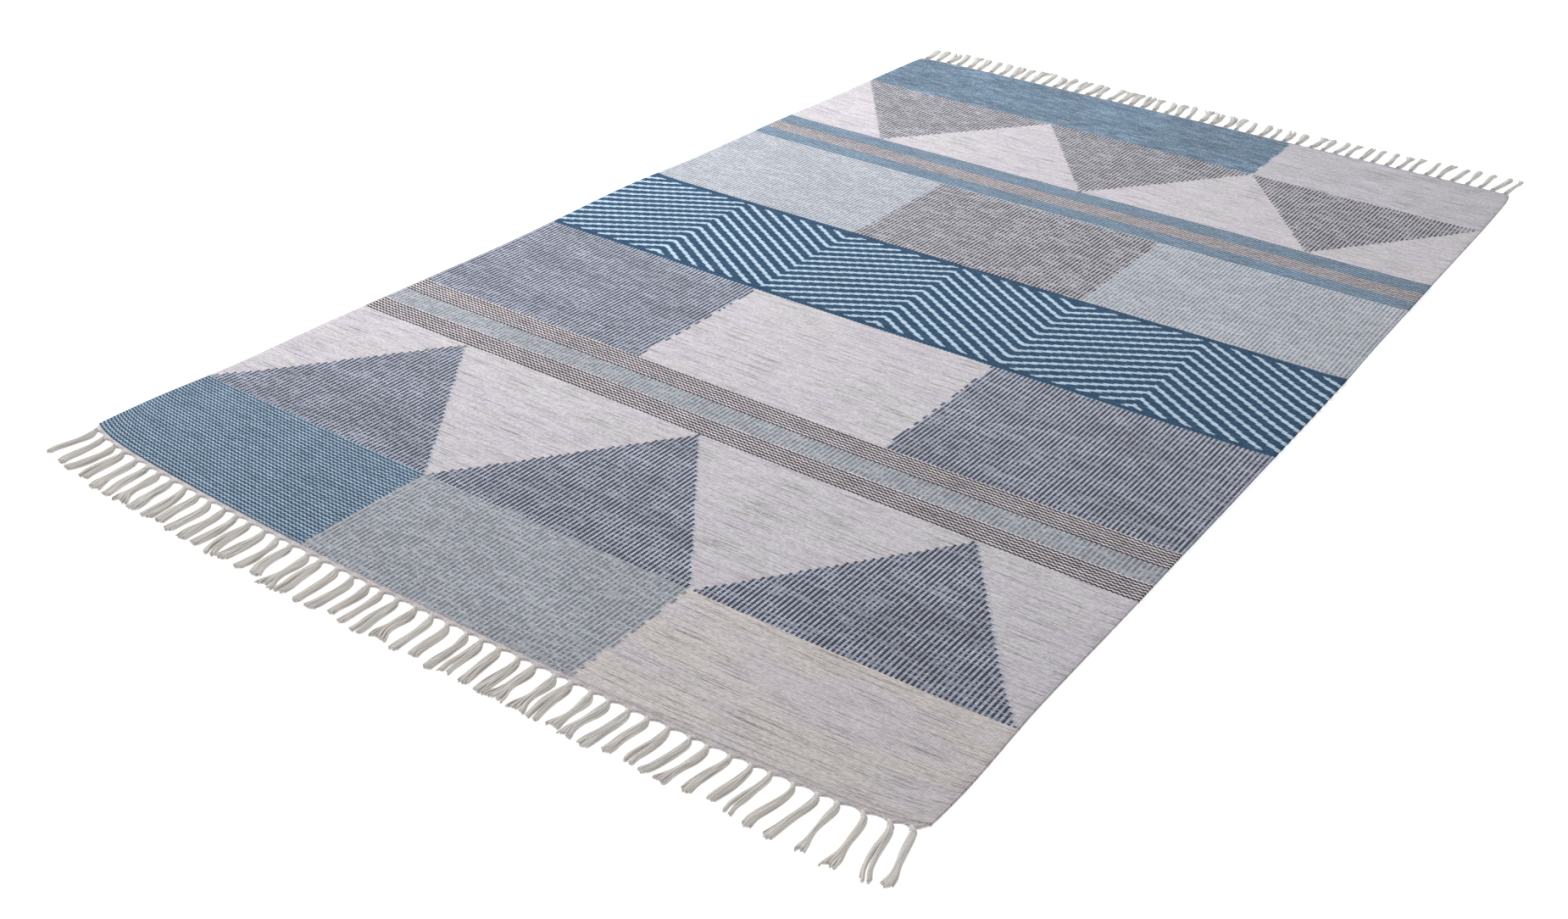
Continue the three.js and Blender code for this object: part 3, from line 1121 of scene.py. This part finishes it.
def lay_tassels(end):
    tassels = []
    for i, root_x in enumerate(tassel_roots(end)):
        share = (i + 0.5) / TASSELS_PER_END
        angle = math.radians(float(between(end.leans, share)))
        length = float(between(end.growth, share)) + LENGTH_SPREAD * uneven(i, end, "length")
        aside = length * math.sin(angle) + TIP_STRAY * uneven(i, end, "tip")
        parted = i % end.parted_every == end.parted_first
        width = TIP_WIDTH * (1 + WIDTH_SPREAD * uneven(i, end, "width"))
        tassels.append(
            Tassel(
                root=np.array((root_x, float(end_edge(end, root_x)))),
                run=np.array((aside, end.away * length * math.cos(angle))),
                bend=BEND_SPREAD * uneven(i, end, "bend"),
                shoulder=end.shoulder + SHOULDER_SPREAD * uneven(i, end, "shoulder"),
                width=PARTED_WIDTH if parted else width,
                parted=parted,
                number=i,
                end=end,
                fullness=float(between(end.growth, share, column=2)),
                body=float(between(end.growth, share, column=3)),
            )
        )
    tips = np.array([t.root[0] + t.run[0] for t in tassels])
    gaps = np.abs(np.diff(tips))
    for i, tassel in enumerate(tassels):
        room = gaps[max(i - 1, 0) : i + 1].min()
        tassel.width = min(tassel.width, ROOM_SHARE * room) * tassel.fullness
    return tassels


# A tassel's bundle of yarns: two layers, and its width and height from the root to the tip.
# A section lies past the edge of the weave by its own distance, plus a share of the tassel's length.
Slot = namedtuple("Slot", "aside layer")
BUNDLE = tuple(Slot(-1 + i / 4, 0.12 * (i % 2)) for i in range(9)) + tuple(
    Slot(-0.875 + i / 4, 1 - 0.12 * (i % 2)) for i in range(8)
)
Section = namedtuple("Section", "past share width height spread yarn")
SECTIONS = (
    Section(-0.005, 0, 0.0085, 0.0028, 0, 0.5),
    Section(0, 0, 0.0056, 0.0036, 0, 0.46),
    Section(0.003, 0, 0.0042, 0.0042, 0, 0.46),
    Section(0.0055, 0, 0.0066, 0.006, 0, 0.6),
    Section(0.009, 0, 0.0098, 0.0072, 0, 0.76),
    Section(0.013, 0, 0.0116, 0.0073, 0, 0.86),
    Section(0.02, 0, 0.0124, 0.0069, 0.06, 0.92),
    Section(0, 0.35, 0.0126, 0.0065, 0.35, 0.96),
    Section(0, 0.6, 0.013, 0.0062, 0.75, 1),
    Section(0, 0.85, 0.0134, 0.0058, 1, 1),
    Section(0, 1, 0.0128, 0.0052, 1, 0.96),
)
YARN_SIDES = 5

# Where a yarn's rings lie, on a tassel of the usual length
YARN_PLACES = (
    *(-0.004, -0.001, 0.0015, 0.0035, 0.006, 0.0088, 0.0125, 0.018, 0.025, 0.032),
    *(0.038, 0.044, 0.05, 0.056, 0.0615, 0.0665, 0.071, 0.075, 0.0785, 0.08),
)
USUAL_LENGTH = YARN_PLACES[-1]

# About one tassel in four is splayed at its tip like a fish's tail: narrow before it, with its outer
# yarns longest. The others have blunt tips, and many of them are pinched on the way, or grow wider to
# the tip.
SPLAYED_ABOVE = 0.5
TAIL_SPREAD = 0.6
TAIL_WAIST = 0.3
TAIL_WAIST_PLACE = 0.6
TAIL_NOTCH = 0.1
TAIL_NOTCH_LEVEL = 0.6
PINCH = 0.4
PINCH_PLACE = 0.45
PINCH_PLACE_SPREAD = 0.25
PINCH_REACH = 0.17
CLUB = 0.3
CLUB_REACH = 0.75
FLARE = 0.08
TIP_STARTS = 0.72

# Past this distance a yarn is trimmed by its own share, and more so at the sides of a blunt tip
TRIM_FROM = 0.05
TRIM_SPREAD = 0.04
BLUNT_ROUNDING = 0.1

# The body of a tassel starts past its knot. Its yarns sway, rise and sink on their way.
BODY_FROM = 0.008
BODY_OVER = 0.01
LOOSE_FROM_ROOT = 0.02
SWAY = 0.14
SWAY_LENGTH = 0.09
SWAY_PHASE = 2.6
MOST_ASIDE = 1.15
RISE = 0.1
RISE_LENGTH = 0.06
DOME = 0.3

# Tips hook to one side, a few yarns stray from them, and a parted tassel divides over a share of its
# length
HOOK = 0.004
STRAY = 0.0022
STRAY_ABOVE = 0.55
PARTED_FROM = 0.12
PARTED_OVER = 0.75

Form = namedtuple("Form", "splayed pinch waist club flare")


def form_of(tassel):
    """How a tassel's outline narrows and widens on its way to the tip."""

    def own(measure):
        return uneven(tassel.number, tassel.end, measure)

    if own("splay") > SPLAYED_ABOVE:
        return Form(True, TAIL_WAIST, TAIL_WAIST_PLACE, 0, TAIL_SPREAD)
    pinch = PINCH * max(own("pinch"), 0)
    waist = PINCH_PLACE + PINCH_PLACE_SPREAD * own("waist")
    return Form(False, pinch, waist, CLUB * max(own("club"), 0), FLARE * own("flare"))


def yarn_line(tassel, number, yarn_radius):
    """The middle line of one yarn of a tassel, and its radius along that line."""
    slot = BUNDLE[number]
    form = form_of(tassel)
    mark = tassel.number * len(BUNDLE) + number

    def own(measure):
        return uneven(mark, tassel.end, measure)

    def section(column, distance):
        places = [s.past + s.share * tassel.length for s in SECTIONS]
        return np.interp(distance, places, [getattr(s, column) for s in SECTIONS])

    distance = np.array(YARN_PLACES) * tassel.length / USUAL_LENGTH
    outside = slot.aside**2
    cut = TAIL_NOTCH * (outside - TAIL_NOTCH_LEVEL) if form.splayed else -BLUNT_ROUNDING * outside
    trim = 1 + TRIM_SPREAD * own("trim") + cut
    distance = np.where(distance > TRIM_FROM, TRIM_FROM + (distance - TRIM_FROM) * trim, distance)
    share = distance / tassel.length
    towards_tip = ease((share - TIP_STARTS) / (1 - TIP_STARTS))
    from_root = ease(distance / LOOSE_FROM_ROOT)
    radius = yarn_radius * section("yarn", distance)

    # The tassel's width at each place
    own_width = section("width", distance) * (0.5 + 0.5 * min(tassel.fullness, 1))
    own_width = own_width * (1 + (tassel.body - 1) * ease((distance - BODY_FROM) / BODY_OVER))
    width = own_width + section("spread", distance) * (tassel.width - own_width)
    width = width * (1 - form.pinch * np.exp(-(((share - form.waist) / PINCH_REACH) ** 2)))
    width = width * (1 - form.club * ease(1 - share / CLUB_REACH) * from_root)

    # How far the yarn lies from the tassel's middle line
    sway = SWAY * np.sin(distance * 2 * np.pi / SWAY_LENGTH + SWAY_PHASE * own("sway")) * from_root
    aside = np.clip(slot.aside + sway, -MOST_ASIDE, MOST_ASIDE)
    offset = aside * (width / 2 - radius)
    lock = 1 if slot.aside > 0 else -1
    if tassel.parted:
        lock_width = PARTED_SHARE * tassel.width
        in_lock = (2 * slot.aside - lock) + sway
        apart = lock * (tassel.width - lock_width) / 2 + in_lock * (lock_width / 2 - radius)
        offset = offset + ease((share - PARTED_FROM) / PARTED_OVER) * (apart - offset)
    else:
        offset = offset * (1 + form.flare * towards_tip)
    hook = HOOK * uneven(tassel.number, tassel.end, "hook") * towards_tip**2
    stray = STRAY * max(own("stray") - STRAY_ABOVE, 0) / (1 - STRAY_ABOVE)
    offset = offset + hook + stray * towards_tip * lock

    layer = slot.layer + RISE * np.sin(distance * 2 * np.pi / RISE_LENGTH + mark)
    level = np.clip(layer, 0, 1) * (1 - DOME * aside**2)
    z = radius + level * np.maximum(section("height", distance) - 2 * radius, 0)
    middle, across = tassel.centre(distance)
    return np.column_stack([middle + offset[:, None] * across, z]), radius


# The margin round a tube in its cell of the bake map, as a share of the cell
BAKE_MARGIN = 0.1


class Tubes:
    """Tubes of yarn that are gathered into one mesh. A map counts yarns across and metres along, and
    each tube has a cell of the bake map."""

    def __init__(self, columns, rows):
        self.columns = columns
        self.rows = rows
        self.points = []
        self.yarns = []
        self.cells = []

    def add(self, number, points, yarn, run, share):
        """A tube's points, and for each of its rings the run of its yarn and its share of the way."""
        around = np.arange(YARN_SIDES) / YARN_SIDES
        row, column = divmod(number, self.columns)
        inside = 1 - 2 * BAKE_MARGIN
        cell_x = (column + BAKE_MARGIN + inside * around) / self.columns
        cell_y = (row + BAKE_MARGIN + inside * share[:, None]) / self.rows
        self.points.append(points)
        self.yarns.append(rows_of(yarn + around, run[:, None]))
        self.cells.append(rows_of(cell_x, cell_y))

    def gathered(self, tube):
        """All points, faces and maps, where tube has the faces of one tube."""
        starts = np.arange(len(self.points)) * len(self.points[0])
        faces = np.concatenate([tube + start for start in starts])
        yarn_map = closed_round(np.concatenate(self.yarns)[faces], YARN_SIDES)
        maps = {"yarn": yarn_map, "OFBake": np.concatenate(self.cells)[faces]}
        return np.concatenate(self.points), faces, maps


def closed_round(corners, sides):
    """Carries the map on past the last face round a tube, where it would jump back to the start, to
    just short of the next yarn."""
    corners = corners.copy()
    last = corners[..., 0].max(axis=1) - corners[..., 0].min(axis=1) > 1.5 / sides
    first = corners[..., 0].min(axis=1)
    wrapped = last[:, None] & (corners[..., 0] < first[:, None] + 0.5 / sides)
    corners[..., 0] = np.where(wrapped, corners[..., 0] + 0.999, corners[..., 0])
    return corners


# Each yarn is turned, and starts on its map, a step further than the one before. Its tip is thinner,
# and its root is lifted by a share of the cloth's ripple.
YARN_TURN = 0.3
YARN_MAP_STEP = 0.01
TIP_TAPER = 0.82
ROOT_LIFT = 0.4
ROOT_LIFT_REACH = 0.015


def lay_yarns(end, cloth, fringe, finish):
    """All the yarns of an end's tassels, each a tube of its own."""
    rings = len(YARN_PLACES)
    taper = np.ones(rings)
    taper[-1] = TIP_TAPER
    tubes = Tubes(2 * len(BUNDLE), TASSELS_PER_END / 2)
    for tassel in lay_tassels(end):
        root_lift = float(lift(*tassel.root, cloth.ripple)) * ROOT_LIFT
        for number in range(len(BUNDLE)):
            line, radius = yarn_line(tassel, number, fringe.yarn / 2)
            out = (line[:, 1] - tassel.root[1]) * end.away
            line[:, 2] += root_lift * (1 - ease(out / ROOT_LIFT_REACH))
            mark = tassel.number * len(BUNDLE) + number
            points = tube_points(line, radius * taper, YARN_SIDES, phase=YARN_TURN * mark)
            run = np.concatenate([[0], np.cumsum(np.linalg.norm(np.diff(line, axis=0), axis=1))])
            tubes.add(mark, points, mark, run + YARN_MAP_STEP * mark, np.linspace(0, 1, rings))
    points, faces, maps = tubes.gathered(tube_faces(rings, YARN_SIDES))
    return make_capped(f"{end.name}_tassels", points, faces, finish, maps, rings, YARN_SIDES)


# The wraps of a knot: where each lies past the edge of the weave, how it is turned, and how wide it is
Wrap = namedtuple("Wrap", "past turn width")
WRAPS = (
    Wrap(0.0056, 44, 0.9),
    Wrap(0.0075, 37, 0.95),
    Wrap(0.0095, 30, 1),
)
WRAP_STEPS = 18
WRAP_LENGTH = 0.026
WRAP_HALF_WIDTH = 0.0045
WRAP_HALF_HEIGHT = 0.0026
WRAP_PLACE_SPREAD = 0.0004
WRAP_TURN_SPREAD = 6
WRAP_SIZE_SPREAD = 0.06
WRAP_BAKE_CELLS = 16


def tie_knots(end, fringe, finish):
    """The knot round each tassel's neck: a slanted band of yarns round the bundle."""
    radius = fringe.wrap / 2
    way_round = np.arange(WRAP_STEPS) / WRAP_STEPS
    steps = 2 * np.pi * way_round
    around = np.arange(YARN_SIDES) * 2 * np.pi / YARN_SIDES
    tubes = Tubes(WRAP_BAKE_CELLS, WRAP_BAKE_CELLS)
    for tassel in lay_tassels(end):
        along = tassel.run / tassel.length
        for order, wrap in enumerate(WRAPS):
            mark = tassel.number * len(WRAPS) + order
            past = wrap.past + WRAP_PLACE_SPREAD * uneven(mark, end, "wrap_place")
            turn = wrap.turn + WRAP_TURN_SPREAD * uneven(tassel.number, end, "wrap_turn")
            size = end.knot * (1 + WRAP_SIZE_SPREAD * uneven(mark, end, "wrap_size"))
            (middle,), across = tassel.centre(np.array([past]))
            aside = WRAP_HALF_WIDTH * size * wrap.width * np.cos(steps)
            forward = aside * math.tan(math.radians(turn))
            flat = middle + aside[:, None] * across + forward[:, None] * along
            centre = np.column_stack([flat, radius + WRAP_HALF_HEIGHT * (1 + np.sin(steps))])
            run = unit(np.roll(centre, -1, axis=0) - np.roll(centre, 1, axis=0))
            outward = centre - centre.mean(axis=0)
            outward = unit(outward - run * (outward * run).sum(axis=1)[:, None])
            points = rings_round(centre, radius, around, outward, np.cross(run, outward))
            yarn = tassel.number * len(BUNDLE) + order
            tubes.add(mark, points, yarn, WRAP_LENGTH * way_round, way_round)
    points, faces, maps = tubes.gathered(tube_faces(WRAP_STEPS, YARN_SIDES, closed=True))
    return make_piece(f"{end.name}_knots", points, [faces], finish, maps)


def shared_finish(name, make, *settings):
    """A material that several pieces share, made once."""
    return bpy.data.materials.get(name) or make(*settings)


def end_cotton(end, colours):
    cotton = colours.cotton if end is NEAR_END else colours.far_cotton
    name = f"{end.name}_cotton"
    return shared_finish(name, cotton_finish, name, cotton, end.left_painted_shade)


def lay_floor(studio):
    bpy.ops.object.select_all(action="DESELECT")
    bpy.ops.mesh.primitive_plane_add(size=studio.floor_size, location=(0, 0, -FLOOR_DROP))
    floor = bpy.context.object
    floor.name = "studio_floor"
    floor.data.materials.append(floor_finish(studio))
    bpy.ops.object.transform_apply(location=True, rotation=False, scale=False)


def light_studio(scene, studio):
    """White surroundings, and one large soft light from the left."""
    world = bpy.data.worlds.new("studio_surroundings")
    world.use_nodes = True
    background = world.node_tree.nodes["Background"]
    background.inputs["Color"].default_value = (1, 1, 1, 1)
    background.inputs["Strength"].default_value = studio.sky
    scene.world = world
    key = bpy.data.lights.new("key_light", "AREA")
    key.shape = "SQUARE"
    key.size = KEY_SIZE
    key.energy = studio.key
    lamp = bpy.data.objects.new("key_light", key)
    lamp.location = KEY_PLACE
    lamp.rotation_mode = "QUATERNION"
    lamp.rotation_quaternion = (KEY_TARGET - KEY_PLACE).to_track_quat("-Z", "Y")
    scene.collection.objects.link(lamp)


def place_camera(scene):
    back = (CAMERA_PLACE - CAMERA_TARGET).normalized()
    level = Vector((0, 0, 1)).cross(back).normalized()
    upright = back.cross(level)
    right = level * math.cos(CAMERA_ROLL) + upright * math.sin(CAMERA_ROLL)
    top = upright * math.cos(CAMERA_ROLL) - level * math.sin(CAMERA_ROLL)
    lens = bpy.data.cameras.new("camera")
    lens.lens = CAMERA_LENS
    lens.sensor_width = CAMERA_SENSOR
    camera = bpy.data.objects.new("camera", lens)
    turn = Matrix((right, top, back)).transposed().to_4x4()
    camera.matrix_world = Matrix.Translation(CAMERA_PLACE + Vector(SHIFT)) @ turn
    scene.collection.objects.link(camera)
    scene.camera = camera


class Step:
    """A step of the work, done with the settings of the scene"""

    def execute(self, context):
        self.work(context.scene)
        return {"FINISHED"}


class RUG_OT_set_studio(Step, bpy.types.Operator):
    """Lay the floor and set the light and the camera"""

    bl_idname = "rug.set_studio"
    bl_label = "Set studio"

    def work(self, scene):
        scene.view_settings.view_transform = "Standard"
        lay_floor(scene.rug_studio)
        light_studio(scene, scene.rug_studio)
        place_camera(scene)


class RUG_OT_weave_cloth(Step, bpy.types.Operator):
    """Weave the rug's cloth"""

    bl_idname = "rug.weave_cloth"
    bl_label = "Weave cloth"

    def work(self, scene):
        finish = shared_finish("melange_weft", weave_finish, scene.rug_colours)
        dress(weave_cloth(scene.rug_cloth, finish), "woven_yarn", "woven_cloth")


class RUG_OT_wrap_sides(Step, bpy.types.Operator):
    """Turn the weft round the outermost warps along both long sides"""

    bl_idname = "rug.wrap_sides"
    bl_label = "Wrap sides"

    def work(self, scene):
        finish = shared_finish("melange_weft", weave_finish, scene.rug_colours)
        for name, is_right in (("left_side_turns", False), ("right_side_turns", True)):
            dress(wrap_side(name, is_right, scene.rug_cloth, finish), "woven_yarn", "woven_cloth")


class RUG_OT_lay_end_strips(Step, bpy.types.Operator):
    """Lay the plain strip that closes the weave at each short end"""

    bl_idname = "rug.lay_end_strips"
    bl_label = "Lay end strips"

    def work(self, scene):
        colours = scene.rug_colours
        # The far strip takes the darker grey-blue weft, which paints the shade along the far edge; the
        # near strip keeps the warm pale weft
        for end, weft in ((NEAR_END, colours.warm_pale), (FAR_END, colours.grey_blue)):
            finish = strip_finish(f"{end.name}_strip_weft", weft, colours.blush)
            strip = lay_strip(end, scene.rug_cloth, scene.rug_fringe, finish)
            dress(strip, "fringe_cotton", f"{end.name}_fringe")


class RUG_OT_lay_tassels(Step, bpy.types.Operator):
    """Lay the yarns of the tassels at both short ends"""

    bl_idname = "rug.lay_tassels"
    bl_label = "Lay tassels"

    def work(self, scene):
        for end in (NEAR_END, FAR_END):
            finish = end_cotton(end, scene.rug_colours)
            tassels = lay_yarns(end, scene.rug_cloth, scene.rug_fringe, finish)
            dress(tassels, "fringe_cotton", f"{end.name}_fringe")


class RUG_OT_tie_knots(Step, bpy.types.Operator):
    """Tie the knot round each tassel's neck"""

    bl_idname = "rug.tie_knots"
    bl_label = "Tie knots"

    def work(self, scene):
        for end in (NEAR_END, FAR_END):
            knots = tie_knots(end, scene.rug_fringe, end_cotton(end, scene.rug_colours))
            dress(knots, "fringe_cotton", f"{end.name}_fringe")


class RUG_PT_sidebar(bpy.types.Panel):
    """The rug's sizes, colours and pieces"""

    bl_idname = "RUG_PT_sidebar"
    bl_label = "Flat-woven rug"
    bl_space_type = "VIEW_3D"
    bl_region_type = "UI"
    bl_category = "Rug"

    def draw(self, context):
        layout = self.layout
        for operator in OPERATORS:
            layout.operator(operator.bl_idname)
        for group in SETTINGS:
            settings = getattr(context.scene, group)
            box = layout.box()
            for name in settings.__annotations__:
                box.prop(settings, name)


SETTINGS = {
    "rug_cloth": RugCloth,
    "rug_fringe": RugFringe,
    "rug_colours": RugColours,
    "rug_studio": RugStudio,
}
OPERATORS = (
    RUG_OT_set_studio,
    RUG_OT_weave_cloth,
    RUG_OT_wrap_sides,
    RUG_OT_lay_end_strips,
    RUG_OT_lay_tassels,
    RUG_OT_tie_knots,
)


def register():
    for kind in (*SETTINGS.values(), *OPERATORS, RUG_PT_sidebar):
        bpy.utils.register_class(kind)
    for name, kind in SETTINGS.items():
        setattr(bpy.types.Scene, name, bpy.props.PointerProperty(type=kind))


def unregister():
    for name in SETTINGS:
        delattr(bpy.types.Scene, name)
    for kind in (RUG_PT_sidebar, *reversed(OPERATORS), *reversed(SETTINGS.values())):
        bpy.utils.unregister_class(kind)


def main():
    register()
    bpy.ops.rug.set_studio()
    bpy.ops.rug.weave_cloth()
    bpy.ops.rug.wrap_sides()
    bpy.ops.rug.lay_end_strips()
    bpy.ops.rug.lay_tassels()
    bpy.ops.rug.tie_knots()
    bpy.context.view_layer.update()


if __name__ == "__main__":
    main()
